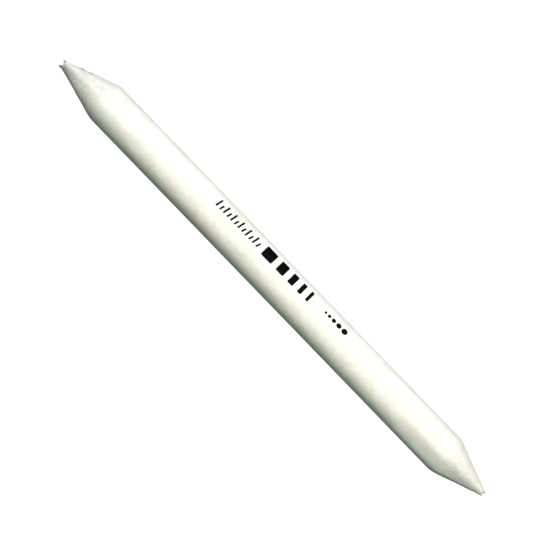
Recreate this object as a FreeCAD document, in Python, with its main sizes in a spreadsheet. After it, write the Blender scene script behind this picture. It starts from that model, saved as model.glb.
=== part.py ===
import FreeCAD, Part
import os
from math import pi, radians

import Sketcher
from FreeCAD import Placement, Rotation, Vector

# A blending stump: felted paper wound round a needle into a solid rod, finished with a thin
# wrapping paper and ground to a blunt cone at both ends.
#
# Frame: millimetres, +Z up. The stump lies on z = 0 with its axis along X: the finer point is
# at +X and the blunter, frayed one at -X. The printed marks face up and towards +Y.
#
# Every sheet is wound in half turns. Each half turn is an exact half circle whose ends lie on
# the seam line, a line through the axis, so that neighbouring turns keep one distance all the
# way round. The sheets are drawn with the seam line along their own Y axis, and the Placement
# of each one turns that line up to the seam angle.

SIZES = {
    "stump_length": 140.0,
    # sheets and the paste between them, through the thickness
    "felt_paper": 0.288,
    "paste_film": 0.05,
    "wrap_paper": 0.09,
    "lap_film": 0.03,
    # the winding, round the hole that the needle leaves
    "bore_radius": 0.355,
    "core_turns": 4,
    "body_turns": 9,
    "seam_angle": 35.0,
    # paste lines, which stop short of the ground ends
    "paste_angle": 42.0,
    "core_paste_length": 130.0,
    "body_paste_length": 114.0,
    "seam_paste_length": 112.0,
    # ground ends
    "grind_radius": 5.19,
    "fine_tip_radius": 0.5,
    "fine_cone_angle": 20.0,
    "fine_shoulder": 9.0,
    "blunt_tip_radius": 0.85,
    "blunt_cone_angle": 18.3,
    "blunt_shoulder": 6.0,
    # printed marks: how far round from the seam line they face, and each row along the stump
    "ink_film": 0.04,
    "mark_angle": 20.0,
    "tick_start": -21.6,
    "tick_count": 12,
    "tick_pitch": 1.2,
    "tick_width": 0.5,
    "tick_height": 2.4,
    "tick_short_ratio": 0.6,
    "tick_slant": 0.35,
    "bar_start": -6.2,
    "bar_count": 5,
    "bar_width": 3.4,
    "bar_ratio": 0.7,
    "bar_gap": 1.5,
    "bar_height": 3.2,
    "dot_start": 13.7,
    "dot_count": 5,
    "dot_width": 0.7,
    "dot_step": 0.22,
    "dot_gap": 0.4,
}

doc = FreeCAD.newDocument("blending_stump")
sheet = doc.addObject("Spreadsheet::Sheet", "Sizes")
for row, (alias, size) in enumerate(SIZES.items(), start=1):
    sheet.set(f"A{row}", alias)
    sheet.set(f"B{row}", str(size))
    sheet.setAlias(f"B{row}", alias)
doc.recompute()


def amount(expression):
    """The number that an expression over the sheet gives."""
    return float(sheet.evalExpression(expression))


# ---- where the sheets lie -------------------------------------------------------------------


def felt_face(half_turn):
    """Distance from the axis to the felt's inner face, so many half turns out from the bore."""
    return f"(Sizes.bore_radius + {half_turn} * (Sizes.felt_paper + Sizes.paste_film) / 2)"


CORE_END = 2 * int(amount("Sizes.core_turns"))
BODY_END = CORE_END + 2 * int(amount("Sizes.body_turns"))

# Each list holds the distances of a sheet's inner face at the ends of its half turns. The even
# ends lie on the + side of the seam line and the odd ends on its - side.
CORE_FACES = [felt_face(half_turn) for half_turn in range(CORE_END + 1)]
BODY_FACES = [felt_face(half_turn) for half_turn in range(CORE_END, BODY_END + 1)]
# The wrap goes round one and a half times: the last half turn laps over its first one.
WRAP_FACES = [felt_face(half_turn) for half_turn in range(BODY_END, BODY_END + 3)]
WRAP_FACES.append(f"({WRAP_FACES[1]} + Sizes.wrap_paper + Sizes.lap_film)")


def half_circle(faces, index, thickness="0"):
    """Radius of one half turn, and its centre along the seam line.

    The radius is that of the sheet's inner face, or of a face further out by a thickness.
    """
    even, odd = faces[index], faces[index + 1]
    if index % 2:
        even, odd = odd, even
    return f"(({even} + {odd}) / 2 + {thickness})", f"(({even} - {odd}) / 2)"


# the two half circles that the outside of the rod is made of
LOWER_RADIUS, LOWER_CENTRE = half_circle(WRAP_FACES, 1, "Sizes.wrap_paper")
UPPER_RADIUS, UPPER_CENTRE = half_circle(WRAP_FACES, 2, "Sizes.wrap_paper")
SEAM_COSINE = "cos(Sizes.seam_angle * 1 deg)"
SEAM_SINE = "sin(Sizes.seam_angle * 1 deg)"
# The underside touches z = 0, and the widest points lie equally far from y = 0.
AXIS_HEIGHT = f"{LOWER_RADIUS} - {LOWER_CENTRE} * {SEAM_SINE}"
AXIS_SIDE = (f"({UPPER_RADIUS} - {LOWER_RADIUS}"
             f" - ({UPPER_CENTRE} + {LOWER_CENTRE}) * {SEAM_COSINE}) / 2")


def lay_down(item):
    """Turn a sub-part's seam line up to its angle and lay the rod on z = 0."""
    item.Placement = Placement(Vector(0, 0, 0), Rotation(Vector(1, 0, 0), 90))
    item.setExpression("Placement.Rotation.Angle", "Sizes.seam_angle * 1 deg")
    item.setExpression("Placement.Base.y", AXIS_SIDE)
    item.setExpression("Placement.Base.z", AXIS_HEIGHT)


# ---- sketching ------------------------------------------------------------------------------

ORIGIN = (-1, 1)
H_AXIS = -1
START, END, CENTRE = 1, 2, 3


def sketch_on(body, role, name):
    """A sketch on one of the body's own origin planes."""
    plane = next(item for item in body.Origin.OriginFeatures if item.Role == role)
    sketch = body.newObject("Sketcher::SketchObject", name)
    sketch.AttachmentSupport = (plane, [""])
    sketch.MapMode = "FlatFace"
    return sketch


def constrain(sketch, kind, *elements):
    return sketch.addConstraint(Sketcher.Constraint(kind, *elements))


def bind(sketch, kind, elements, expression):
    """A dimension that follows the sheet. A point's distances are taken from the origin."""
    value = amount(expression)
    if kind in ("DistanceX", "DistanceY"):
        elements = (*ORIGIN, *elements) if value >= 0 else (*elements, *ORIGIN)
        expression = expression if value >= 0 else f"-({expression})"
    index = constrain(sketch, kind, *elements, abs(value))
    sketch.setExpression(f"Constraints[{index}]", expression)


def add_arc(sketch, centre, radius, begin, finish):
    circle = Part.Circle(Vector(*centre, 0), Vector(0, 0, 1), radius)
    return sketch.addGeometry(Part.ArcOfCircle(circle, begin, finish))


def add_line(sketch, begin, finish):
    return sketch.addGeometry(Part.LineSegment(Vector(*begin, 0), Vector(*finish, 0)))


def link(sketch, first, second):
    """A line between the ends of two edges."""
    line = sketch.addGeometry(
        Part.LineSegment(sketch.getPoint(*first), sketch.getPoint(*second))
    )
    constrain(sketch, "Coincident", *first, line, START)
    constrain(sketch, "Coincident", *second, line, END)
    return line


def pad_both_ways(body, sketch, length):
    pad = body.newObject("PartDesign::Pad", f"{body.Name}_length")
    pad.Profile = sketch
    pad.SideType = "Symmetric"
    pad.setExpression("Length", length)
    return pad


# ---- the ground ends ------------------------------------------------------------------------

OVERRUN = 1.0  # how far the cuts run out past the ends
CLEAR_RADIUS = 7.0  # outside the whole rod


def end_cut(body, end, side):
    """Cut away all that lies outside a cone, which runs into the barrel by a round shoulder."""
    slope = f"tan(Sizes.{end}_cone_angle * 1 deg)"
    mouth = f"{side} * (Sizes.stump_length / 2 + {OVERRUN})"
    mouth_radius = f"Sizes.{end}_tip_radius - {OVERRUN} * {slope}"
    cone_length = f"(Sizes.grind_radius - Sizes.{end}_tip_radius) / {slope}"
    tangent = f"Sizes.{end}_shoulder * tan(Sizes.{end}_cone_angle / 2 * 1 deg)"
    run_out = f"{side} * (Sizes.stump_length / 2 - {cone_length} - {tangent})"

    sketch = sketch_on(body, "XY_Plane", f"{body.Name}_{end}_profile")
    angle = radians(amount(f"Sizes.{end}_cone_angle"))
    shoulder = amount(f"Sizes.{end}_shoulder")
    centre = (amount(run_out), amount("Sizes.grind_radius") - shoulder)
    if side > 0:
        arc = add_arc(sketch, centre, shoulder, pi / 2 - angle, pi / 2)
        on_cone, on_barrel = START, END
    else:
        arc = add_arc(sketch, centre, shoulder, pi / 2, pi / 2 + angle)
        on_cone, on_barrel = END, START
    bind(sketch, "Radius", (arc,), f"Sizes.{end}_shoulder")
    bind(sketch, "DistanceX", (arc, on_barrel), run_out)
    bind(sketch, "DistanceY", (arc, on_barrel), "Sizes.grind_radius")
    constrain(sketch, "Vertical", arc, CENTRE, arc, on_barrel)

    foot = sketch.getPoint(arc, on_cone)
    cone = add_line(sketch, (amount(mouth), amount(mouth_radius)), (foot.x, foot.y))
    constrain(sketch, "Tangent", cone, END, arc, on_cone)
    bind(sketch, "DistanceX", (cone, START), mouth)
    bind(sketch, "DistanceY", (cone, START), mouth_radius)

    top = add_line(sketch, (amount(run_out), CLEAR_RADIUS), (amount(mouth), CLEAR_RADIUS))
    constrain(sketch, "Horizontal", top)
    bind(sketch, "DistanceY", (top, START), str(CLEAR_RADIUS))
    constrain(sketch, "Vertical", link(sketch, (arc, on_barrel), (top, START)))
    constrain(sketch, "Vertical", link(sketch, (top, END), (cone, START)))

    groove = body.newObject("PartDesign::Groove", f"{body.Name}_{end}_cone")
    groove.Profile = sketch
    groove.ReferenceAxis = (sketch, ["H_Axis"])
    groove.Angle = 360
    doc.recompute()
    return groove


def grind_ends(body, pad):
    """Cut both cones, and make sure that each cut takes something away."""
    doc.recompute()
    volume = pad.Shape.Volume
    for end, side in (("fine", 1), ("blunt", -1)):
        groove = end_cut(body, end, side)
        if groove.Shape.Volume > 0.999 * volume:
            raise RuntimeError(f"{groove.Name} cut nothing")
        volume = groove.Shape.Volume


# ---- the wound sheets -----------------------------------------------------------------------


def sheet_face(sketch, faces, thickness):
    """One face of a wound sheet: a chain of half circles. Returns its first and last arc."""
    arcs = []
    for index in range(len(faces) - 1):
        radius, centre = half_circle(faces, index, thickness)
        begin = pi * (index % 2)
        arc = add_arc(sketch, (amount(centre), 0), amount(radius), begin, begin + pi)
        constrain(sketch, "PointOnObject", arc, CENTRE, H_AXIS)
        constrain(sketch, "PointOnObject", arc, END, H_AXIS)
        if arcs:
            constrain(sketch, "Coincident", arcs[-1], END, arc, START)
        else:
            constrain(sketch, "PointOnObject", arc, START, H_AXIS)
            bind(sketch, "DistanceX", (arc, START), f"{faces[0]} + {thickness}")
        side = 1 if index % 2 else -1
        bind(sketch, "DistanceX", (arc, END), f"{side} * ({faces[index + 1]} + {thickness})")
        arcs.append(arc)
    return arcs[0], arcs[-1]


def wound_sheet(name, faces, thickness):
    body = doc.addObject("PartDesign::Body", name)
    section = sketch_on(body, "YZ_Plane", f"{name}_section")
    inner_first, inner_last = sheet_face(section, faces, "0")
    outer_first, outer_last = sheet_face(section, faces, thickness)
    link(section, (inner_first, START), (outer_first, START))
    link(section, (inner_last, END), (outer_last, END))
    grind_ends(body, pad_both_ways(body, section, "Sizes.stump_length"))
    lay_down(body)
    return body


# ---- the dried paste lines ------------------------------------------------------------------


def paste_line(name, below, above, side):
    """Paste under the last stretch of a sheet, which ends on one side of the seam line.

    Below and above are the faces that the paste lies between, each a radius and a centre.
    """
    body = doc.addObject("PartDesign::Body", name)
    section = sketch_on(body, "YZ_Plane", f"{name}_section")
    finish = 2 * pi if side > 0 else pi
    begin = finish - radians(amount("Sizes.paste_angle"))
    arcs = []
    for radius, centre in (below, above):
        arc = add_arc(section, (amount(centre), 0), amount(radius), begin, finish)
        constrain(section, "PointOnObject", arc, CENTRE, H_AXIS)
        constrain(section, "PointOnObject", arc, END, H_AXIS)
        bind(section, "DistanceX", (arc, CENTRE), centre)
        bind(section, "Radius", (arc,), radius)
        reach = f"{centre} + {side} * {radius} * cos(Sizes.paste_angle * 1 deg)"
        bind(section, "DistanceX", (arc, START), reach)
        arcs.append(arc)
    link(section, (arcs[0], START), (arcs[1], START))
    link(section, (arcs[0], END), (arcs[1], END))
    pad_both_ways(body, section, f"Sizes.{name}_length")
    lay_down(body)
    return body


# ---- the printed marks ----------------------------------------------------------------------


def cylinder_along_x(name, radius, centre):
    """A cylinder over the whole length, about a line parallel to the stump's axis."""
    cylinder = doc.addObject("Part::Cylinder", name)
    cylinder.setExpression("Radius", radius)
    cylinder.setExpression("Height", "Sizes.stump_length")
    cylinder.Placement = Placement(Vector(0, 0, 0), Rotation(Vector(0, 1, 0), 90))
    cylinder.setExpression("Placement.Base.x", "-Sizes.stump_length / 2")
    cylinder.setExpression("Placement.Base.y", centre)
    return cylinder


def ink_layer(name):
    """A film of ink all round the outer sheet, for the marks to be cut out of."""
    layer = doc.addObject("Part::Cut", name)
    layer.Base = cylinder_along_x(f"{name}_outside", f"{UPPER_RADIUS} + Sizes.ink_film",
                                  UPPER_CENTRE)
    layer.Tool = cylinder_along_x(f"{name}_inside", UPPER_RADIUS, UPPER_CENTRE)
    return layer


def printed_row(name, draw_marks):
    """Marks drawn flat on a plane through the axis, and thrown out onto the ink layer."""
    sketch = doc.addObject("Sketcher::SketchObject", f"{name}_outlines")
    # the sketch's own Y runs round the rod, and its normal points out through the marks
    sketch.Placement = Placement(Vector(0, 0, 0), Rotation(Vector(1, 0, 0), 90))
    sketch.setExpression("Placement.Rotation.Angle", "(Sizes.mark_angle - 90) * 1 deg")
    draw_marks(sketch)
    stamp = doc.addObject("Part::Extrusion", f"{name}_stamp")
    stamp.Base = sketch
    stamp.DirMode = "Normal"
    stamp.Solid = True
    stamp.LengthFwd = CLEAR_RADIUS
    row = doc.addObject("Part::Common", name)
    row.Base = ink_layer(f"{name}_ink")
    row.Tool = stamp
    lay_down(row)
    return row


def draw_outline(sketch, corners):
    """A closed outline of straight edges through corners, each a pair of expressions."""
    points = [(amount(across), amount(up)) for across, up in corners]
    edges = [add_line(sketch, points[i], points[(i + 1) % len(points)])
             for i in range(len(points))]
    for i, (across, up) in enumerate(corners):
        constrain(sketch, "Coincident", edges[i - 1], END, edges[i], START)
        bind(sketch, "DistanceX", (edges[i], START), across)
        bind(sketch, "DistanceY", (edges[i], START), up)


def draw_ticks(sketch):
    """Slim leaning strokes, tall and short by turns."""
    for index in range(int(amount("Sizes.tick_count"))):
        height = "Sizes.tick_height"
        if index % 2:
            height += " * Sizes.tick_short_ratio"
        foot = f"Sizes.tick_start + {index} * Sizes.tick_pitch"
        head = f"{foot} + Sizes.tick_slant"
        bottom = "-Sizes.tick_height / 2"
        top = f"{bottom} + {height}"
        draw_outline(sketch, [
            (foot, bottom),
            (f"{foot} + Sizes.tick_width", bottom),
            (f"{head} + Sizes.tick_width", top),
            (head, top),
        ])


def draw_bars(sketch):
    """Bold bars, each narrower than the one before by the same ratio."""
    left = "Sizes.bar_start"
    for index in range(int(amount("Sizes.bar_count"))):
        right = f"{left} + Sizes.bar_width * Sizes.bar_ratio ^ {index}"
        bottom, top = "-Sizes.bar_height / 2", "Sizes.bar_height / 2"
        draw_outline(sketch, [(left, bottom), (right, bottom), (right, top), (left, top)])
        left = f"{right} + Sizes.bar_gap"


def draw_dots(sketch):
    """Round dots that grow by the same step."""
    left = "Sizes.dot_start"
    for index in range(int(amount("Sizes.dot_count"))):
        width = f"(Sizes.dot_width + {index} * Sizes.dot_step)"
        middle = f"{left} + {width} / 2"
        dot = sketch.addGeometry(
            Part.Circle(Vector(amount(middle), 0, 0), Vector(0, 0, 1), amount(width) / 2)
        )
        constrain(sketch, "PointOnObject", dot, CENTRE, H_AXIS)
        bind(sketch, "DistanceX", (dot, CENTRE), middle)
        bind(sketch, "Diameter", (dot,), width)
        left = f"{left} + {width} + Sizes.dot_gap"


# ---- the assembly ---------------------------------------------------------------------------

PARTS = [
    wound_sheet("core_roll", CORE_FACES, "Sizes.felt_paper"),
    wound_sheet("body_sheet", BODY_FACES, "Sizes.felt_paper"),
    wound_sheet("outer_wrap", WRAP_FACES, "Sizes.wrap_paper"),
    paste_line(
        "core_paste",
        half_circle(CORE_FACES, CORE_END - 3, "Sizes.felt_paper"),
        half_circle(CORE_FACES, CORE_END - 1),
        1,
    ),
    paste_line(
        "body_paste",
        half_circle(BODY_FACES, BODY_END - CORE_END - 3, "Sizes.felt_paper"),
        half_circle(BODY_FACES, BODY_END - CORE_END - 1),
        1,
    ),
    paste_line(
        "seam_paste",
        half_circle(WRAP_FACES, 0, "Sizes.wrap_paper"),
        half_circle(WRAP_FACES, 2),
        -1,
    ),
    printed_row("print_tick_row", draw_ticks),
    printed_row("print_shade_bars", draw_bars),
    printed_row("print_size_dots", draw_dots),
]
doc.recompute()


def check_document():
    """Stop if any object failed, or any sub-part has no valid shape."""
    for item in doc.Objects:
        if "Invalid" in item.State or "Error" in item.State:
            raise RuntimeError(f"{item.Label}: {item.State}")
        if item.TypeId == "Sketcher::SketchObject" and item.solve() != 0:
            raise RuntimeError(f"{item.Label}: the sketch doesn't solve")
    for part in PARTS:
        if part.Shape.isNull() or not part.Shape.isValid() or not part.Shape.Solids:
            raise RuntimeError(f"{part.Label}: no valid shape")


def write_parts():
    os.makedirs("parts", exist_ok=True)
    for part in PARTS:
        part.Label = part.Name
        part.Shape.exportStep(f"parts/{part.Label}.step")
        solids = len(part.Shape.Solids)
        print(f"{part.Label}: {solids} solid(s), {part.Shape.Volume:.2f} mm3")


check_document()
write_parts()
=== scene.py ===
from itertools import product
from math import cos, pi, radians, sin, tan

import bpy
import numpy as np
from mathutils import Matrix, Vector


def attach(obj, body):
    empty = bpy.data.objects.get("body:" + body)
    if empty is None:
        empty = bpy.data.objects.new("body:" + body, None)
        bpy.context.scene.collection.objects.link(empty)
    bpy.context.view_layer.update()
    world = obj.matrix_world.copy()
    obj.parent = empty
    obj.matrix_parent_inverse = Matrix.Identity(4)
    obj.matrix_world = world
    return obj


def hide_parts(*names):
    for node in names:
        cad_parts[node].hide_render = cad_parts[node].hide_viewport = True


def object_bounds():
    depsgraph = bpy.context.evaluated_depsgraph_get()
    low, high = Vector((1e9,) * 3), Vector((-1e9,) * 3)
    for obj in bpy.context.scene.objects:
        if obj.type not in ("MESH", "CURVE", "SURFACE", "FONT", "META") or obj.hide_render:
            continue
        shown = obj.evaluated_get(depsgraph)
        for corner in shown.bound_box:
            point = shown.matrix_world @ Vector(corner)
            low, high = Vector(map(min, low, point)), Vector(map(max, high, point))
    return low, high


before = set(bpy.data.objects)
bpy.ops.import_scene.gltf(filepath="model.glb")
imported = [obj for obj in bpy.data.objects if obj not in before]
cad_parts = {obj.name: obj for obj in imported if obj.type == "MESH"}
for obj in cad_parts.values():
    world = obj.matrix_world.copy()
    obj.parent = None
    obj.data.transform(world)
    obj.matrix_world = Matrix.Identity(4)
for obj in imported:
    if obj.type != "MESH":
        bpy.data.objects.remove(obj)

# A blending stump: felted paper wound into a solid rod, wrapped in thin paper and ground to a
# blunt cone at each end. Lengths in this script are in millimetres until a mesh, light or
# camera is made, and then metres. X runs along the stump; angles round it start at +Y and
# turn towards +Z.

MM = 0.001
cad_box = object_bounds()
HALF_LENGTH = (cad_box[1][0] - cad_box[0][0]) / 2 / MM

# ---- the winding, as the CAD model has it ---------------------------------------------------

FELT_PAPER, PASTE_FILM = 0.288, 0.05
WRAP_PAPER, LAP_FILM = 0.09, 0.03
BORE_RADIUS = 0.355
CORE_END, BODY_END = 8, 26  # counted in half turns from the bore
SEAM_ANGLE = radians(35)
GRIND_RADIUS = 5.19


def felt_face(half_turn):
    """Radius of the winding after this many half turns of felted paper."""
    return BORE_RADIUS + half_turn * (FELT_PAPER + PASTE_FILM) / 2


CORE_FACES = np.array([felt_face(k) for k in range(CORE_END + 1)])
BODY_FACES = np.array([felt_face(k) for k in range(CORE_END, BODY_END + 1)])
WRAP_FACES = np.array([felt_face(k) for k in range(BODY_END, BODY_END + 3)]
                      + [felt_face(BODY_END + 1) + WRAP_PAPER + LAP_FILM])


def half_circle(faces, index):
    """Radius and centre along the seam line of one or more half turns."""
    near, far = faces[index], faces[index + 1]
    return (near + far) / 2, np.where(index % 2 == 0, near - far, far - near) / 2


LOWER_RADIUS, LOWER_CENTRE = half_circle(WRAP_FACES, 1)
UPPER_RADIUS, UPPER_CENTRE = half_circle(WRAP_FACES, 2)
AXIS_Z = LOWER_RADIUS + WRAP_PAPER - LOWER_CENTRE * sin(SEAM_ANGLE)
AXIS_Y = (UPPER_RADIUS - LOWER_RADIUS - (UPPER_CENTRE + LOWER_CENTRE) * cos(SEAM_ANGLE)) / 2


def wound(faces, theta, offset):
    """Points (along, across) the seam line on a sheet's inner face, or further out."""
    index = np.clip((theta // pi).astype(int), 0, len(faces) - 2)
    radius, centre = half_circle(faces, index)
    return centre + (radius + offset) * np.cos(theta), (radius + offset) * np.sin(theta)


def polar(along, across):
    """Distance from the axis, and angle round it from +Y."""
    return np.hypot(along, across), np.arctan2(across, along) + SEAM_ANGLE


def from_polar(x, radius, psi):
    """Points in the row frame."""
    return np.stack([x, AXIS_Y + radius * np.cos(psi), AXIS_Z + radius * np.sin(psi)], -1)


# ---- smooth random relief -------------------------------------------------------------------


def grain(points, size, seed):
    """Smooth random values from -1 to 1, about one size apart, at points in space.

    The large whole numbers scramble a cell's place and the seed into one value.
    """
    places = np.asarray(points) / size + 100.0
    cell = np.floor(places).astype(np.int64)
    part = places - cell
    part = part * part * (3 - 2 * part)
    total = np.zeros(places.shape[:-1])
    for corner in product((0, 1), repeat=3):
        at = cell + np.array(corner)
        mix = at[..., 0] * 73856093 ^ at[..., 1] * 19349663 ^ at[..., 2] * 83492791
        mix = (mix ^ seed * 668265263) & 0xFFFFFFFF
        mix = ((mix ^ mix >> 15) * 1274126177) & 0xFFFFFFFF
        value = ((mix ^ mix >> 13) & 0xFFFFFF) / float(0x7FFFFF) - 1
        weight = np.where(np.array(corner) == 1, part, 1 - part).prod(-1)
        total += weight * value
    return total


def smooth_step(value):
    """A soft rise from 0 to 1 as the value goes from 0 to 1."""
    clipped = np.clip(value, 0, 1)
    return clipped * clipped * (3 - 2 * clipped)


# ---- the ground ends ------------------------------------------------------------------------


PRONG_ANGLE = radians(8)  # one prong of each point; the other is opposite
FRAYED_WIDTH = 0.45  # over which the fraying fades away from the point


class End:
    """One ground end: its cone, its shoulder, and how frayed its point is."""

    def __init__(self, side, tip_radius, angle, shoulder, shoulder_swing, crown, flare):
        self.side = side
        self.tip_radius = tip_radius
        self.slope = tan(radians(angle))
        self.angle = radians(angle)
        self.shoulder = shoulder
        self.shoulder_swing = shoulder_swing
        self.crown = crown
        self.flare = flare

    def reach(self, radius, psi):
        """How far from the middle of the stump the cut lies at this distance from the axis."""
        shoulder = self.shoulder - self.shoulder_swing * np.cos(psi)
        corner = HALF_LENGTH - (GRIND_RADIUS - self.tip_radius) / self.slope
        run_out = corner - shoulder * tan(self.angle / 2)
        on_cone = HALF_LENGTH - (radius - self.tip_radius) / self.slope
        drop = radius - (GRIND_RADIUS - shoulder)
        on_arc = run_out + np.sqrt(np.maximum(shoulder**2 - drop**2, 0))
        cone_top = GRIND_RADIUS - shoulder * (1 - cos(self.angle))
        return np.where(radius > cone_top, on_arc, np.minimum(on_cone, HALF_LENGTH))

    def frayed(self, radius, psi):
        """How far the point's worn rim stands back from its two prongs."""
        notch = 0.5 - 0.5 * np.cos(2 * (psi - PRONG_ANGLE))
        ragged = 0.3 * grain(from_polar(0 * radius, 1.7 * radius, psi), 0.5, 31)
        near_bore = 1 - smooth_step((radius - 0.85 * self.tip_radius) / FRAYED_WIDTH)
        return self.crown * np.clip(notch + ragged, 0, 1.2) * near_bore


FINE = End(side=1, tip_radius=0.5, angle=20.0, shoulder=9.0, shoulder_swing=2.0,
           crown=0.6, flare=0.0)
BLUNT = End(side=-1, tip_radius=0.74, angle=18.3, shoulder=7.5, shoulder_swing=3.2,
            crown=0.7, flare=0.22)

HAND_GROUND = 0.045  # how uneven the cones are, over a few millimetres
FELTED = 0.02  # and over one
NAPPED = 0.01  # and over a third of one
LAYER_SWELL = 0.008  # how far each cut layer swells between its joints


def cut_reach(end, radius, psi, share):
    """The reach at a cut face, with the relief of felt that was ground by hand.

    The share runs from 0 at the layer's inner face to 1 at its outer face.
    """
    nominal = end.reach(radius, psi)
    surface = from_polar(end.side * nominal, radius, psi)
    relief = HAND_GROUND * grain(surface, 4.2, 3) + FELTED * grain(surface, 1.1, 5)
    relief += NAPPED * grain(surface, 0.34, 7)
    relief += LAYER_SWELL * (np.sin(pi * share) - 0.6) * (1 + grain(surface, 1.7, 9))
    return end.reach(radius - relief, psi) - end.frayed(radius, psi)


FLAT_ANGLE = radians(123)  # where the rod is pressed a little flat
FLAT_FROM, FLAT_FULL, FLAT_FADES, FLAT_TO = 40.0, 49.0, 56.0, 66.0
FLAT_DEPTH = 0.22
FLAT_CURVE = 3.0 * GRIND_RADIUS  # the pressed side is still slightly round
FLAT_SOFT = 0.15  # how softly the pressed side runs into the round one
FLAT_ONSET = 0.1  # the depth at which it has fully taken hold
NOT_PRESSED = -1.0  # well above the surface


def pressed(x, psi):
    """How far the outside is pressed in, where the rod lay on its side when its end was ground."""
    share = smooth_step((x - FLAT_FROM) / (FLAT_FULL - FLAT_FROM))
    share *= 1 - smooth_step((x - FLAT_FADES) / (FLAT_TO - FLAT_FADES))
    uneven = 1 + 0.4 * grain(from_polar(x, GRIND_RADIUS, psi), 3.2, 25)
    depth = FLAT_DEPTH * share * uneven
    apart = psi - FLAT_ANGLE
    behind = FLAT_CURVE - (GRIND_RADIUS - depth)
    across = np.minimum(np.abs(behind * np.sin(apart)), FLAT_CURVE)
    side = np.sqrt(FLAT_CURVE**2 - across**2) - behind * np.cos(apart)
    sunk = np.where(np.cos(apart) > 0.5, GRIND_RADIUS - side, NOT_PRESSED)
    return np.logaddexp(0, sunk / FLAT_SOFT) * FLAT_SOFT * smooth_step(depth / FLAT_ONSET)


BEND_LENGTH, BEND_SIDEWAYS = 13.0, 0.84  # the blunt point's bend, and how far it leans
RIM_START, RIM_LENGTH = 1.1, 1.0  # the flared rim of the blunt point


def bent(x, radius, psi):
    """Points in the row frame, with the blunt point pushed over and its rim flared."""
    past = np.clip((-x - (HALF_LENGTH - BEND_LENGTH)) / BEND_LENGTH, 0, 1)
    rim = smooth_step((-x - (HALF_LENGTH - RIM_START)) / RIM_LENGTH)
    flared = radius + BLUNT.flare * rim * np.clip(radius / BLUNT.tip_radius, 0.6, 1)
    points = from_polar(x, flared - pressed(x, psi) * (radius / GRIND_RADIUS) ** 3, psi)
    points[..., 1] -= BEND_SIDEWAYS * past**1.35
    return points


# ---- meshes ---------------------------------------------------------------------------------


def make_mesh(name, points, faces, material, slot, smooth_angle=38):
    """A piece from points in millimetres, smooth where faces meet at less than the angle."""
    mesh = bpy.data.meshes.new(name)
    mesh.from_pydata((np.asarray(points) * MM).tolist(), [], faces)
    mesh.validate()
    mesh.materials.append(material)
    mesh.shade_smooth()
    mesh.set_sharp_from_angle(angle=radians(smooth_angle))
    piece = bpy.data.objects.new(name, mesh)
    bpy.context.scene.collection.objects.link(piece)
    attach(piece, "root")
    return piece


END_DEPTHS = np.array([0, 0.1, 0.24, 0.45, 0.8, 1.5, 3.0])  # rows close behind a cut
DEEP = 9.0  # stands for any depth where the cut has no effect
ACROSS = 6  # points across a cut layer, besides its two edges


def rows_along(reach_left, reach_right, middle_rows):
    """Where a face's rows lie along X, and how deep each is from its nearer end."""
    left = -reach_left[:, None] + END_DEPTHS
    right = (reach_right[:, None] - END_DEPTHS)[:, ::-1]
    share = np.linspace(0, 1, middle_rows + 2)[1:-1]
    middle = left[:, -1:] + share * (right[:, :1] - left[:, -1:])
    x = np.concatenate([left, middle, right], 1)
    deep = np.concatenate([END_DEPTHS, np.full(middle_rows, DEEP), END_DEPTHS[::-1]])
    return x, deep


def ribbon(name, faces, thickness, columns, middle_rows, material, slot, shape):
    """A wound sheet as one closed mesh.

    Shape gives, for places on the sheet, how far each point moves round and outwards.
    """
    theta = np.linspace(0, (len(faces) - 1) * pi, columns + 1)
    shares = np.linspace(0, 1, ACROSS + 2)[1:-1]

    def shaped(x, turned, share, deep):
        shift, lift = shape(x, turned, share, deep)
        return polar(*wound(faces, turned + shift, share * thickness + lift))

    def place(x, share, deep):
        return bent(x, *shaped(x, np.broadcast_to(theta[:, None], x.shape), share, deep))

    def cut_line(end, share):
        """How far each place round the sheet reaches, so that the cut layers meet flush."""
        rough = end.reach(*polar(*wound(faces, theta, share * thickness)))
        radius, psi = shaped(end.side * rough, theta, share, 0.0)
        return cut_reach(end, radius, psi, share)

    def face_points(share):
        x, deep = rows_along(cut_line(BLUNT, share), cut_line(FINE, share), middle_rows)
        return place(x, share, deep)

    def cut_points(end):
        lines = [place(end.side * cut_line(end, share)[:, None], share, np.zeros(1))
                 for share in shares]
        return np.concatenate(lines, 1)

    inner, outer = face_points(0.0), face_points(1.0)
    loop = np.concatenate(
        [inner, cut_points(FINE), outer[:, ::-1], cut_points(BLUNT)[:, ::-1]], 1
    )
    around, rows = loop.shape[1], inner.shape[1]
    first = np.arange(around)
    second = np.roll(first, -1)
    quads = []
    for column in range(columns):
        here, there = column * around, (column + 1) * around
        quads += np.stack([here + first, here + second, there + second, there + first], 1).tolist()

    def cap(base):
        """The faces that close the sheet's edge whose points start at this index."""
        far = rows + ACROSS + rows - 1
        polygons = [[base + j, base + far - j, base + far - j - 1, base + j + 1]
                    for j in range(rows - 1)]
        polygons.append([base + rows - 1, base + rows + ACROSS]
                        + [base + rows + k for k in reversed(range(ACROSS))])
        polygons.append([base + around - 1 - k for k in range(ACROSS)] + [base + far, base])
        return polygons

    end_cap = [polygon[::-1] for polygon in cap(columns * around)]
    return make_mesh(name, loop.reshape(-1, 3), quads + cap(0) + end_cap, material, slot)


# ---- node materials -------------------------------------------------------------------------


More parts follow.
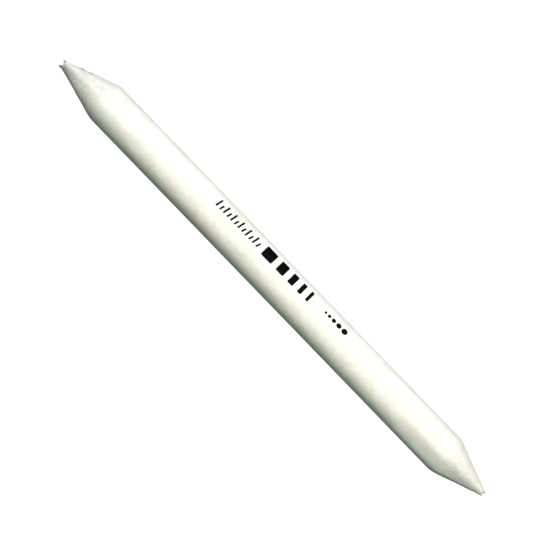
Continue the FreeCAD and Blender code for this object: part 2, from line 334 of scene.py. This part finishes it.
class Nodes:
    """A small helper that adds linked nodes to one material."""

    def __init__(self, name):
        self.material = bpy.data.materials.new(name)
        self.material.use_nodes = True
        self.tree = self.material.node_tree
        self.shader = self.tree.nodes["Principled BSDF"]
        coordinates = self.tree.nodes.new("ShaderNodeTexCoord")
        scale = self.tree.nodes.new("ShaderNodeVectorMath")
        scale.operation = "SCALE"
        scale.inputs["Scale"].default_value = 1 / MM
        self.tree.links.new(coordinates.outputs["Object"], scale.inputs[0])
        self.place = scale.outputs[0]  # in millimetres

    def link(self, output, target):
        self.tree.links.new(output, target)

    def stretched(self, x, y, z):
        node = self.tree.nodes.new("ShaderNodeVectorMath")
        node.operation = "MULTIPLY"
        node.inputs[1].default_value = (x, y, z)
        self.link(self.place, node.inputs[0])
        return node.outputs[0]

    def shifted(self, by):
        node = self.tree.nodes.new("ShaderNodeVectorMath")
        node.operation = "ADD"
        node.inputs[1].default_value = by
        self.link(self.place, node.inputs[0])
        return node.outputs[0]

    def distance(self, point):
        node = self.tree.nodes.new("ShaderNodeVectorMath")
        node.operation = "DISTANCE"
        node.inputs[1].default_value = point
        self.link(self.place, node.inputs[0])
        return node.outputs["Value"]

    def noise(self, size, detail=3.0, roughness=0.55, place=None, distortion=0.0):
        """Noise whose features are about as large as the size."""
        node = self.tree.nodes.new("ShaderNodeTexNoise")
        node.inputs["Scale"].default_value = 1 / size
        node.inputs["Detail"].default_value = detail
        node.inputs["Roughness"].default_value = roughness
        node.inputs["Distortion"].default_value = distortion
        self.link(place or self.place, node.inputs["Vector"])
        return node.outputs["Fac"]

    def ramp(self, value, low, high, start=0.0, finish=1.0):
        """A soft rise from start to finish as the value goes from low to high."""
        node = self.tree.nodes.new("ShaderNodeMapRange")
        node.interpolation_type = "SMOOTHSTEP"
        node.inputs["From Min"].default_value = low
        node.inputs["From Max"].default_value = high
        node.inputs["To Min"].default_value = start
        node.inputs["To Max"].default_value = finish
        self.link(value, node.inputs["Value"])
        return node.outputs["Result"]

    def maths(self, operation, first, second):
        """One Math node. Each of the two values is a number or another node's output."""
        node = self.tree.nodes.new("ShaderNodeMath")
        node.operation = operation
        for socket, value in zip(node.inputs, (first, second)):
            if isinstance(value, (int, float)):
                socket.default_value = value
            else:
                self.link(value, socket)
        return node.outputs[0]

    def times(self, first, *others):
        for other in others:
            first = self.maths("MULTIPLY", first, other)
        return first

    def mix(self, share, first, second):
        """A mix of two colours, each of them three numbers or another node's output."""
        node = self.tree.nodes.new("ShaderNodeMix")
        node.data_type = "RGBA"
        for name, value in (("A", first), ("B", second)):
            socket = next(s for s in node.inputs if s.name == name and s.type == "RGBA")
            if isinstance(value, tuple):
                socket.default_value = (*value, 1)
            else:
                self.link(value, socket)
        self.link(share, node.inputs[0])
        return next(s for s in node.outputs if s.type == "RGBA")

    def angle(self):
        """The angle round the stump's axis, in degrees: 0 on top and 90 at its +Y side."""
        middle = self.tree.nodes.new("ShaderNodeSeparateXYZ")
        self.link(self.shifted((0, -AXIS_Y, -AXIS_Z)), middle.inputs[0])
        turned = self.maths("ARCTAN2", middle.outputs["Y"], middle.outputs["Z"])
        return self.maths("MULTIPLY", turned, 180 / pi)

    def tint(self, colour, by):
        """A colour with its red, green and blue multiplied by three numbers."""
        node = self.tree.nodes.new("ShaderNodeVectorMath")
        node.operation = "MULTIPLY"
        node.inputs[1].default_value = by
        self.link(colour, node.inputs[0])
        return node.outputs[0]

    def axis(self, name):
        node = self.tree.nodes.new("ShaderNodeSeparateXYZ")
        self.link(self.place, node.inputs[0])
        return node.outputs[name]

    def bump(self, height, distance):
        node = self.tree.nodes.new("ShaderNodeBump")
        node.inputs["Distance"].default_value = distance * MM
        node.inputs["Strength"].default_value = 1.0
        self.link(height, node.inputs["Height"])
        return node.outputs["Normal"]

    def finish(self, colour, roughness, normal):
        self.link(colour, self.shader.inputs["Base Color"])
        self.link(roughness, self.shader.inputs["Roughness"])
        self.link(normal, self.shader.inputs["Normal"])
        return self.material


GREEN_STREAK, PINK_STREAK = (0.62, 0.73, 0.54), (0.97, 0.8, 0.73)
STREAK = 0.45  # one over how much the noise is stretched along the stump; minus mirrors it


def tinted(nodes, colour, size, strength):
    """Faint greenish and pinkish streaks along the stump, as old paper has."""
    for streak, along in ((GREEN_STREAK, STREAK), (PINK_STREAK, -STREAK)):
        noise = nodes.noise(size, 3.0, 0.5, nodes.stretched(along, 1, 1), 0.8)
        colour = nodes.mix(nodes.ramp(noise, 0.5, 0.66, 0.0, strength), colour, streak)
    return colour


def from_middle(nodes):
    """Distance along the stump from its middle."""
    return nodes.maths("ABSOLUTE", nodes.axis("X"), 0.0)


def band(nodes, side):
    """How far a place is within a band round the axis, from 0 to 1, with ragged soft edges."""
    starts, ends = side
    angle = nodes.maths("ADD", nodes.angle(), nodes.maths("MULTIPLY", nodes.noise(1.3), 16.0))
    return nodes.times(nodes.ramp(angle, *starts), nodes.ramp(angle, *ends))


GROUND_FROM = 57.2  # where the wrap starts to be ground away, from the middle
FLECK_PLACES = ((-65.4, 1.7, 5.5), (-63.5, 2.45, 5.8))  # darker flecks on the blunt cone
FLECK_GREY, POINT_GREY = (0.43, 0.4, 0.31), (0.17, 0.17, 0.165)

# Bands of painted shade round the axis: the degrees between which each sets in, and between which
# it ends, the full side last. The noise in band() moves them by about 8 degrees towards -Y.
NEAR_SHADE_BAND_WRAP = ((8.0, -16.0), (-54.0, -38.0))
FAR_SHADE_BAND_WRAP = ((30.0, 62.0), (120.0, 96.0))
NEAR_SHADE_BAND_FELT = ((14.0, -6.0), (-46.0, -22.0))
FAR_SHADE_BAND_FELT = ((38.0, 60.0), (120.0, 96.0))
COOL_SHADE_BAND = ((-24.0, -46.0), (-68.0, -50.0))


def painted_side_shade(nodes, colour, shade_grey, side, along):
    """Painted shade: a band on one side of each end is greyer, and patchy at its edges.

    The painted shade grows over these distances from the middle of the stump.
    """
    patchy = nodes.ramp(nodes.noise(0.8, 4.0, distortion=0.6), 0.35, 0.65, 0.35, 0.8)
    wear_and_painted_shade = nodes.times(band(nodes, side), nodes.ramp(from_middle(nodes), *along), patchy)
    return nodes.mix(wear_and_painted_shade, colour, shade_grey)


def painted_cool_shade(nodes, colour, by):
    """Painted shade: the lower side is tinted cooler, with less yellow, towards the fine point."""
    share = nodes.times(band(nodes, COOL_SHADE_BAND), nodes.ramp(nodes.axis("X"), 5.0, 45.0))
    return nodes.mix(share, colour, nodes.tint(colour, by))


def wrap_paper_material():
    """Thin white wrapping paper: cloudy, finely grained along its length, with a few fibres."""
    nodes = Nodes("wrap_paper")
    cloud = nodes.ramp(nodes.noise(1.5, 4.0), 0.35, 0.68)
    colour = nodes.mix(cloud, (0.875, 0.85, 0.735), (0.94, 0.92, 0.8))
    colour = tinted(nodes, colour, 2.6, 0.36)
    long_fibres = nodes.noise(0.12, 2.0, 0.5, nodes.stretched(0.22, 1, 1), 1.2)
    fleck = nodes.ramp(long_fibres, 0.66, 0.78, 0.0, 0.35)
    colour = nodes.mix(fleck, colour, (0.72, 0.68, 0.55))
    ragged = nodes.maths("MULTIPLY", nodes.noise(0.5, 4.0, 0.65), 1.6)
    ground = nodes.ramp(nodes.maths("ADD", from_middle(nodes), ragged), GROUND_FROM + 0.5,
                        GROUND_FROM + 1.2)
    colour = nodes.mix(ground, colour, (0.87, 0.84, 0.73))
    # Painted shade: greyer bands on the -Y side and on the +Y side near both ends.
    colour = painted_side_shade(nodes, colour, (0.67, 0.73, 0.63), NEAR_SHADE_BAND_WRAP, (44.0, 57.0))
    colour = painted_side_shade(nodes, colour, (0.74, 0.78, 0.6), FAR_SHADE_BAND_WRAP, (46.0, 58.0))
    # Painted shade: a cooler tint on the lower side towards the fine point.
    colour = painted_cool_shade(nodes, colour, (1.0, 1.1, 1.17))
    roughness = nodes.ramp(nodes.noise(0.9, 3.0), 0.3, 0.7, 0.56, 0.7)
    grain_height = nodes.maths("ADD", nodes.noise(0.11, 3.0, 0.6, nodes.stretched(0.45, 1, 1)),
                               nodes.maths("MULTIPLY", nodes.noise(0.6, 2.0), 0.8))
    wool = nodes.times(nodes.noise(0.16, 4.0, 0.65, distortion=1.8), ground)
    normal = nodes.bump(nodes.maths("ADD", grain_height, wool), 0.012)
    nodes.shader.inputs["Specular IOR Level"].default_value = 0.5
    nodes.shader.inputs["Sheen Weight"].default_value = 0.05
    return nodes.finish(colour, roughness, normal)


def greyed_points_and_painted_shade(nodes, colour):
    """Painted shade on the blunt point's -Y side and at the fine point's rim on its +Y side, and
    grey at the blunt point's rim.
    """
    patchy = nodes.ramp(nodes.noise(0.5, 4.0), 0.3, 0.6, 0.6, 1.0)
    # Painted shade: darker on the blunt point's -Y side.
    side = nodes.ramp(nodes.axis("Y"), 0.1, -1.3)
    blunt = nodes.ramp(nodes.axis("X"), -63.5, -69.5, 0.0, 0.8)
    rim = nodes.ramp(nodes.axis("X"), -69.1, -69.8, 0.0, 0.75)
    grey_share = nodes.maths("MAXIMUM", nodes.times(blunt, side), rim)
    # Painted shade: a dark trace at the fine point's rim, on its +Y side.
    fine_rim = nodes.ramp(nodes.axis("X"), 69.0, 69.5, 0.0, 0.8)
    outside = nodes.ramp(nodes.axis("Y"), 0.1, 0.35)
    grey_share = nodes.maths("MAXIMUM", grey_share, nodes.times(fine_rim, outside))
    return nodes.mix(nodes.times(grey_share, patchy), colour, POINT_GREY)


def flecked(nodes, colour):
    """Small darker flecks with ragged edges, each a little over a millimetre across."""
    ragged = nodes.maths("MULTIPLY", nodes.noise(0.45, 4.0, 0.6), 1.6)
    for place in FLECK_PLACES:
        apart = nodes.maths("ADD", nodes.distance(place), ragged)
        fleck = nodes.ramp(apart, 1.75, 1.2, 0.0, 0.85)
        colour = nodes.mix(fleck, colour, FLECK_GREY)
    return colour


def felt_paper_material():
    """Creamy felted paper: mottled, matt and woolly, greyed at the worn blunt point, with painted
    shade there, on the sides of both ends and on the lower side towards the fine point.
    """
    nodes = Nodes("felt_paper")
    mottle = nodes.ramp(nodes.noise(1.1, 5.0, 0.62, distortion=0.4), 0.36, 0.66)
    colour = nodes.mix(mottle, (0.8, 0.775, 0.675), (0.905, 0.88, 0.785))
    colour = tinted(nodes, colour, 1.7, 0.5)
    handled = nodes.ramp(from_middle(nodes), 57.5, 66.0, 0.0, 0.5)
    colour = nodes.mix(handled, colour, (0.7, 0.68, 0.575))
    specks = nodes.ramp(nodes.noise(0.22, 3.0, 0.6, distortion=1.5), 0.62, 0.76, 0.0, 0.4)
    colour = nodes.mix(specks, colour, (0.58, 0.56, 0.46))
    # Painted shade: greyer bands on the -Y side and on the +Y side near both ends.
    colour = painted_side_shade(nodes, colour, (0.47, 0.56, 0.48), NEAR_SHADE_BAND_FELT, (56.5, 62.5))
    colour = painted_side_shade(nodes, colour, (0.68, 0.74, 0.62), FAR_SHADE_BAND_FELT, (50.0, 60.0))
    # Painted shade: a cooler tint on the lower side towards the fine point.
    colour = painted_cool_shade(nodes, colour, (1.1, 1.19, 1.27))
    colour = flecked(nodes, greyed_points_and_painted_shade(nodes, colour))
    roughness = nodes.ramp(nodes.noise(0.5), 0.3, 0.7, 0.88, 0.98)
    wool = nodes.noise(0.13, 4.0, 0.65, distortion=2.2)
    strands = nodes.noise(0.1, 2.0, 0.5, nodes.stretched(0.3, 1, 1), 2.5)
    fluff = nodes.maths("ADD", wool, nodes.maths("MULTIPLY", strands, 0.8))
    clumps = nodes.maths("MULTIPLY", nodes.noise(0.55, 3.0), 1.2)
    normal = nodes.bump(nodes.maths("ADD", fluff, clumps), 0.028)
    nodes.shader.inputs["Specular IOR Level"].default_value = 0.2
    nodes.shader.inputs["Sheen Weight"].default_value = 0.3
    nodes.shader.inputs["Sheen Roughness"].default_value = 0.6
    return nodes.finish(colour, roughness, normal)


def paste_material():
    """Dried starch paste: yellowish and slightly glossy."""
    nodes = Nodes("dried_paste")
    colour = nodes.mix(nodes.ramp(nodes.noise(0.7), 0.3, 0.7), (0.78, 0.7, 0.5), (0.86, 0.8, 0.62))
    roughness = nodes.ramp(nodes.noise(0.4), 0.3, 0.7, 0.3, 0.5)
    return nodes.finish(colour, roughness, nodes.bump(nodes.noise(0.3), 0.01))


def ink_material():
    """Black printing ink that sank unevenly into the paper."""
    nodes = Nodes("printed_ink")
    wear_and_painted_shade = nodes.ramp(nodes.noise(0.14, 3.0, 0.6), 0.5, 0.85)
    colour = nodes.mix(wear_and_painted_shade, (0.0015, 0.0015, 0.0018), (0.006, 0.006, 0.0057))
    roughness = nodes.ramp(nodes.noise(0.3), 0.3, 0.7, 0.6, 0.75)
    nodes.shader.inputs["Specular IOR Level"].default_value = 0.04
    return nodes.finish(colour, roughness, nodes.bump(nodes.noise(0.11, 3.0), 0.008))


def floor_material():
    """Plain pale board, barely uneven."""
    nodes = Nodes("pale_floor")
    colour = nodes.mix(nodes.noise(40.0), (0.93, 0.93, 0.93), (0.94, 0.94, 0.94))
    roughness = nodes.ramp(nodes.noise(30.0), 0.3, 0.7, 0.9, 0.95)
    return nodes.finish(colour, roughness, nodes.bump(nodes.noise(3.0), 0.001))


WRAP_MATERIAL = wrap_paper_material()
FELT_MATERIAL = felt_paper_material()
PASTE_MATERIAL = paste_material()
INK_MATERIAL = ink_material()

# ---- the wound sheets -----------------------------------------------------------------------

JOINT_GAP = 0.004  # what is left of the paste film where the ground felt has fluffed over it
FLUFF_DEPTH = 0.45  # how far behind the cut the felt has fluffed up


def felt_shape(x, theta, share, deep):
    """Each layer fluffs up against the next one close to its cut."""
    swell = (PASTE_FILM - JOINT_GAP) * np.exp(-((deep / FLUFF_DEPTH) ** 2)) * share
    return np.zeros_like(x), np.broadcast_to(swell, x.shape)


WRAP_WAVES = 0.014  # how far the wrapping paper waves in and out


def wrap_relief(x, psi):
    """The slight waviness of the paper round the rod, in waves that are long along it."""
    around = from_polar(x * 0.35, 5.0, psi)
    return WRAP_WAVES * grain(around, 3.6, 11)


LAP_START = 3 * pi - 0.5  # where the wrap's last stretch starts to stray and lift


def lap_wander(x):
    """How far the lap's trimmed edge strays from the seam line, and lifts off the paper."""
    along = np.stack([x, 0 * x, 0 * x], -1)
    stray = 0.016 * grain(along, 9.0, 13) + 0.006 * grain(along, 0.8, 15)
    lift = 0.022 * np.clip(grain(along, 6.0, 17) + 0.25, 0, 1)
    return stray, lift


SEAM_PASTE_END = 56.0  # past it, the space under the lap is closed
CLOSES_OVER = 0.4  # and how far along the stump that takes
CLOSED_GAP = 0.003  # what is left under the lap there
HUG_ANGLE, LAP_ANGLE = 0.4, 0.3  # over which the wrap's relief and its lap set in


def lap_gap(theta):
    """How much the first turn swells to meet the lap that lies over it."""
    below, _ = polar(*wound(WRAP_FACES, theta, WRAP_PAPER))
    above, _ = polar(*wound(WRAP_FACES, theta + 2 * pi, 0.0))
    return above - below - CLOSED_GAP


def wrap_shape(x, theta, share, deep):
    """The wrap is slightly wavy, its lap strays and lifts, and the ground ends are closed."""
    _, psi = polar(*wound(WRAP_FACES, theta, 0.0))
    near_edge = smooth_step((theta - LAP_START) / (3 * pi - LAP_START))
    stray, lift = lap_wander(x)
    hugging = smooth_step((theta - pi) / HUG_ANGLE)
    lifted = hugging * wrap_relief(x, psi) + near_edge**2 * lift
    shut = smooth_step((np.abs(x) - SEAM_PASTE_END) / CLOSES_OVER)
    lap_turn = smooth_step((theta - 2 * pi) / LAP_ANGLE)
    filled = np.where(theta <= pi, share * lap_gap(np.minimum(theta, pi)), 0)
    return near_edge * stray, lifted * (1 - shut * lap_turn) + shut * filled


core = ribbon("core_roll_felt", CORE_FACES, FELT_PAPER, columns=4 * 90, middle_rows=8,
              material=FELT_MATERIAL, slot="felt_paper", shape=felt_shape)
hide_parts("core_roll")
body = ribbon("body_sheet_felt", BODY_FACES, FELT_PAPER, columns=9 * 132, middle_rows=8,
              material=FELT_MATERIAL, slot="felt_paper", shape=felt_shape)
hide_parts("body_sheet")
wrap = ribbon("outer_wrap_paper", WRAP_FACES, WRAP_PAPER, columns=216, middle_rows=150,
              material=WRAP_MATERIAL, slot="wrap_paper", shape=wrap_shape)
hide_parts("outer_wrap")

for name in ("core_paste", "body_paste", "seam_paste"):
    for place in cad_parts[name].material_slots:
        place.material = PASTE_MATERIAL

# ---- loose fibres ---------------------------------------------------------------------------

FIBRE_POINTS = 6
FIBRE_SIDES = 3
OFF_AXIS = np.array([0.36, 0.48, 0.8])  # a direction that no fibre runs along
UNDER_WRAP = 0.12  # how far the fibres stay below the grinding radius


def tubes(paths, radii):
    """Closed tubes that thin out towards their tips: points and faces."""
    count = len(paths)
    ahead = np.gradient(paths, axis=1)
    ahead /= np.linalg.norm(ahead, axis=-1, keepdims=True)
    across = np.cross(ahead, OFF_AXIS)
    across /= np.linalg.norm(across, axis=-1, keepdims=True)
    upward = np.cross(ahead, across)
    taper = radii[:, None] * np.linspace(1, 0.35, FIBRE_POINTS)
    turns = np.arange(FIBRE_SIDES) * 2 * pi / FIBRE_SIDES
    rings = paths[:, :, None] + taper[:, :, None, None] * (
        across[:, :, None] * np.cos(turns)[:, None] + upward[:, :, None] * np.sin(turns)[:, None]
    )
    faces = []
    per_fibre = FIBRE_POINTS * FIBRE_SIDES
    for fibre in range(count):
        base = fibre * per_fibre
        for ring in range(FIBRE_POINTS - 1):
            low, high = base + ring * FIBRE_SIDES, base + (ring + 1) * FIBRE_SIDES
            for side in range(FIBRE_SIDES):
                after = (side + 1) % FIBRE_SIDES
                faces.append([low + side, low + after, high + after, high + side])
        faces.append([base + side for side in reversed(range(FIBRE_SIDES))])
        faces.append([base + per_fibre - FIBRE_SIDES + side for side in range(FIBRE_SIDES)])
    return rings.reshape(-1, 3), faces


def lying_fibres(end, count, draws):
    """Fibres that the grinding raised: each follows the cone and lifts at its free end."""
    inner, outer = 0.9 * end.tip_radius, GRIND_RADIUS - UNDER_WRAP
    radius = inner + (outer - inner) * draws.random(count) ** 0.8
    psi = 2 * pi * draws.random(count)
    heading = 2 * pi * draws.random(count)
    length = 0.3 + 1.0 * draws.random(count) ** 2
    curl = 2.6 * (draws.random(count) - 0.5)
    rise = 0.03 + 0.16 * draws.random(count) ** 3
    arched = draws.random(count) < 0.45
    step = length / (FIBRE_POINTS - 1)
    path = []
    for share in np.linspace(0, 1, FIBRE_POINTS):
        lift = 0.004 + rise * np.where(arched, np.sin(pi * share), share**1.7)
        x = cut_reach(end, radius, psi, 0.5) + sin(end.angle) * lift
        outward = np.minimum(radius + cos(end.angle) * lift, outer)
        path.append(bent(end.side * x, outward, psi))
        turned = heading + curl * share
        radius = np.clip(radius - np.cos(turned) * step * sin(end.angle), inner, outer)
        psi = psi + np.sin(turned) * step / radius
    return np.stack(path, 1)


def tip_fibres(end, count, draws):
    """Fibres that stand out from the worn rim of a point."""
    radius = end.tip_radius * (0.62 + 0.38 * draws.random(count))
    psi = 2 * pi * draws.random(count)
    length = 0.12 + 0.45 * draws.random(count) ** 1.6
    spread = 0.15 + 0.75 * draws.random(count)
    curl = 1.8 * (draws.random(count) - 0.5)
    root = end.reach(radius, psi) - end.frayed(radius, psi) - 0.06
    path = []
    for share in np.linspace(0, 1, FIBRE_POINTS):
        forward = length * share * np.cos(spread * share)
        sideways = length * share * np.sin(spread * share)
        turned = psi + curl * share * length
        path.append(bent(end.side * (root + forward), radius + sideways, turned))
    return np.stack(path, 1)


def add_fibres(name, end, lying, standing, seed):
    """One end's fibres, as one piece: so many that lie on the cone, and so many at its point."""
    draws = np.random.default_rng(seed)
    paths = np.concatenate([lying_fibres(end, lying, draws), tip_fibres(end, standing, draws)])
    radii = 0.0055 + 0.006 * draws.random(len(paths))
    make_mesh(name, *tubes(paths, radii), FELT_MATERIAL, "felt_paper", smooth_angle=80)


def slab_faces(rows, columns):
    """Faces of a thin closed slab: a grid of points on top, then the same grid below."""
    count = rows * columns
    index = np.arange(count).reshape(rows, columns)
    faces = []
    for i in range(rows - 1):
        for j in range(columns - 1):
            ring = [index[i, j], index[i + 1, j], index[i + 1, j + 1], index[i, j + 1]]
            faces.append([int(k) for k in ring])
            faces.append([int(k) + count for k in ring[::-1]])
    edge = (list(index[:, 0]) + list(index[-1, 1:]) + list(index[-2::-1, -1])
            + list(index[0, -2:0:-1]))
    for k, here in enumerate(edge):
        after = edge[(k + 1) % len(edge)]
        faces.append([int(after), int(here), int(here) + count, int(after) + count])
    return faces


FLAKE_ROOT, FLAKE_ANGLE = 64.7, radians(11)
FLAKE_LENGTH, FLAKE_HALF_WIDTH = 1.9, 0.34


def add_flake():
    """A torn flake of felt that stands off the blunt cone and curls over towards the point."""
    along, across = np.meshgrid(np.linspace(0, 1, 15), np.linspace(-1, 1, 9), indexing="ij")
    torn = 0.12 * grain(np.stack([along, across, 0 * along], -1), 0.3, 45)
    x = FLAKE_ROOT + FLAKE_LENGTH * along + torn
    width = FLAKE_HALF_WIDTH * (1 - 0.55 * along**2)
    radius = BLUNT.tip_radius + (HALF_LENGTH - x) * BLUNT.slope
    psi = FLAKE_ANGLE + across * width / radius
    lift = 0.13 * np.sin(np.minimum(along * 1.25, 1) * pi / 2) ** 2 - 0.1 * along**5
    lift = lift + 0.05 * across**2 * along
    thickness = 0.09 * (1 - across**4) * (1 - 0.8 * along**6)
    top = bent(-x, radius + lift + thickness / 2 + 0.01, psi)
    bottom = bent(-x, radius + lift - thickness / 2 - 0.01, psi)
    points = np.concatenate([top.reshape(-1, 3), bottom.reshape(-1, 3)])
    faces = slab_faces(*along.shape)
    make_mesh("felt_flake_blunt_end", points, faces, FELT_MATERIAL, "felt_paper", smooth_angle=60)


add_flake()
add_fibres("felt_fibres_fine_end", FINE, lying=1100, standing=60, seed=41)
add_fibres("felt_fibres_blunt_end", BLUNT, lying=1100, standing=170, seed=43)

# ---- the printed marks ----------------------------------------------------------------------

MARK_ANGLE = radians(20)  # from the seam line to the middle of the print
OUTER_RADIUS = UPPER_RADIUS + WRAP_PAPER
INK_ABOVE, INK_BELOW = 0.014, 0.006  # how far the ink stands on the paper, and has sunk in
INK_RAGGED, INK_ROUNDED = 0.022, 0.008  # how uneven a mark's rim is, and how much lower
INK_CELL = 0.09  # about the size of a mark's faces


def on_wrap(x, up, above):
    """Points above the wrap's outer face, where up is the height on the flat drawing."""
    theta = 2 * pi + MARK_ANGLE - np.arcsin(up / OUTER_RADIUS)
    _, psi = polar(*wound(WRAP_FACES, theta, 0.0))
    lifted = WRAP_PAPER + wrap_relief(x, psi) + above
    radius, psi = polar(*wound(WRAP_FACES, theta, lifted))
    return from_polar(x, radius, psi)


def ink_slab(outline, width, height):
    """One mark as a thin closed slab: points and faces. The outline maps a square to a shape."""
    columns = max(6, int(width / INK_CELL))
    rows = max(6, int(height / INK_CELL))
    a, b = np.meshgrid(np.linspace(-1, 1, columns + 1), np.linspace(-1, 1, rows + 1),
                       indexing="ij")
    x, up = outline(a, b)
    rim = np.maximum(abs(a), abs(b)) ** 6
    spot = np.stack([x, up, 0 * x], -1)
    x = x + INK_RAGGED * rim * grain(spot, 0.16, 21)
    up = up + INK_RAGGED * rim * grain(spot, 0.16, 23)
    top = on_wrap(x, up, INK_ABOVE - INK_ROUNDED * rim)
    bottom = on_wrap(x, up, -INK_BELOW + 0 * x)
    return np.concatenate([top.reshape(-1, 3), bottom.reshape(-1, 3)]), slab_faces(*a.shape)


def print_marks(name, node, slabs):
    """One group of marks, joined into one piece that stands for its CAD node."""
    points, faces, base = [], [], 0
    for mark_points, mark_faces in slabs:
        points.append(mark_points)
        faces += [[index + base for index in face] for face in mark_faces]
        base += len(mark_points)
    marks = make_mesh(name, np.concatenate(points), faces, INK_MATERIAL, "ink")
    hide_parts(node)


def bar_outline(left, width, bottom, height, slant=0.0):
    """A leaning bar with slightly rounded corners."""

    def outline(a, b):
        corner = 1 - 0.05 * abs(a * b) ** 8
        share = (b * corner + 1) / 2
        return left + width * (a * corner + 1) / 2 + slant * share, bottom + height * share

    return outline


def dot_outline(middle, width):
    """A round dot."""

    def outline(a, b):
        return (middle + width / 2 * a * np.sqrt(1 - b * b / 2),
                width / 2 * b * np.sqrt(1 - a * a / 2))

    return outline


def tick_row():
    """Slanting ticks, every other one short."""
    start, pitch, width, tall, slant = -21.6, 1.2, 0.5, 2.4, 0.35
    for index in range(12):
        height = tall if index % 2 == 0 else 0.6 * tall
        yield ink_slab(bar_outline(start + index * pitch, width, -tall / 2, height, slant),
                       width, height)


def shade_bars():
    """Bars that narrow, with even gaps."""
    left, width, ratio, gap, height = -6.2, 3.4, 0.7, 1.5, 3.2
    for index in range(5):
        wide = width * ratio**index
        yield ink_slab(bar_outline(left, wide, -height / 2, height), wide, height)
        left += wide + gap


def size_dots():
    """Dots that grow, with even gaps."""
    left, width, step, gap = 13.7, 0.7, 0.22, 0.4
    for index in range(5):
        wide = width + index * step
        yield ink_slab(dot_outline(left + wide / 2, wide), wide, wide)
        left += wide + gap


print_marks("ink_tick_row", "print_tick_row", tick_row())
print_marks("ink_shade_bars", "print_shade_bars", shade_bars())
print_marks("ink_size_dots", "print_size_dots", size_dots())

# ---- floor, lights and camera ---------------------------------------------------------------


def add_floor():
    """A pale table, in metres. It throws no light back up; the bounce lamps stand in for that."""
    mesh = bpy.data.meshes.new("floor")
    side, steps = 3.0, 8
    top = -0.02 * MM  # a hair below the stump, so that the two don't share a plane
    places = np.linspace(-side, side, steps + 1)
    points = [(x, y, top) for x in places for y in places]
    faces = [(i * (steps + 1) + j, (i + 1) * (steps + 1) + j,
              (i + 1) * (steps + 1) + j + 1, i * (steps + 1) + j + 1)
             for i in range(steps) for j in range(steps)]
    mesh.from_pydata(points, [], faces)
    mesh.materials.append(floor_material())
    floor = bpy.data.objects.new("floor", mesh)
    bpy.context.scene.collection.objects.link(floor)
    floor.visible_diffuse = False
    floor.visible_glossy = False
    return floor


def lit_group(name, objects):
    """A collection that lamps can be limited to."""
    group = bpy.data.collections.new(name)
    for item in objects:
        group.objects.link(item)
    return group


def add_area_light(name, direction, distance, size, level, colour, lit, shading=None):
    """A square soft light that shines on the middle of the stump from a direction.

    A white surface that faces it shows at the given level. It shines on the lit pieces only,
    and where shading pieces are given, no other pieces cast its shadow.
    """
    light = bpy.data.lights.new(name, "AREA")
    light.size = size
    light.energy = level * (pi * distance) ** 2
    light.color = colour
    lamp = bpy.data.objects.new(name, light)
    aim = Vector(direction).normalized()
    lamp.location = aim * distance
    lamp.rotation_mode = "QUATERNION"
    lamp.rotation_quaternion = aim.to_track_quat("Z", "Y")
    lamp.visible_camera = False
    bpy.context.scene.collection.objects.link(lamp)
    lamp.light_linking.receiver_collection = lit
    if shading is not None:
        lamp.light_linking.blocker_collection = shading
    return lamp


VIEW_WIDTH = 127.5  # what the camera sees at the height of the stump's axis
VIEW_MIDDLE = (-0.34, 0.53)  # the point straight below the camera
VIEW_TURN = radians(45.99)
LENS = 200  # a long one, which shows little perspective


def add_camera():
    """Straight above, with the stump running from upper left to lower right."""
    camera = bpy.data.cameras.new("camera")
    camera.lens = LENS
    distance = VIEW_WIDTH * camera.lens / camera.sensor_width
    holder = bpy.data.objects.new("camera", camera)
    holder.location = Vector((*VIEW_MIDDLE, distance + AXIS_Z)) * MM
    holder.rotation_euler = (0, 0, VIEW_TURN)
    bpy.context.scene.collection.objects.link(holder)
    bpy.context.scene.camera = holder


def set_world(colour, strength):
    """An even light from all round."""
    world = bpy.data.worlds.new("studio")
    world.use_nodes = True
    background = world.node_tree.nodes["Background"]
    background.inputs["Color"].default_value = (*colour, 1)
    background.inputs["Strength"].default_value = strength
    bpy.context.scene.world = world


floor = add_floor()
stump = lit_group("stump_pieces", [piece for piece in bpy.data.objects
                                   if piece.type == "MESH" and piece is not floor])
table = lit_group("table_pieces", [floor])

WHITE, WARM, COOL, CYAN = (1, 1, 1), (1.28, 1.0, 0.58), (0.84, 1.0, 1.4), (0.5, 1.1, 1.35)
# The stump's lamps: name, tilt in degrees from straight above towards +Y, size, level, colour.
# The two bounce lamps stand in for light off the table, which gives a matt glow and no glint.
STUMP_LAMPS = (("warm_key", 20, 0.4, 0.61, WARM),
               ("cool_key", 40, 0.4, 0.73, COOL),
               ("near_fill", -30, 0.4, 0.14, CYAN),
               ("bounce", -156, 0.3, 0.5, WHITE),
               ("far_bounce", 170, 0.3, 0.2, WHITE))
for name, tilt, size, level, colour in STUMP_LAMPS:
    direction = (0, sin(radians(tilt)), cos(radians(tilt)))
    lamp = add_area_light(name, direction, 1.0, size, level, colour, stump, stump)
    lamp.visible_glossy = "bounce" not in name
# The table's own lamps: a wash that the stump doesn't shade, and a light that it does.
add_area_light("table_wash", (0, 0, 1), 2.0, 0.6, 0.8, WHITE, table, table)
add_area_light("table_light", (0, 0, 1), 2.0, 0.5, 0.45, WHITE, table)
set_world((0.7, 0.95, 1.0), 0.01)
add_camera()
bpy.context.scene.view_settings.view_transform = "Standard"
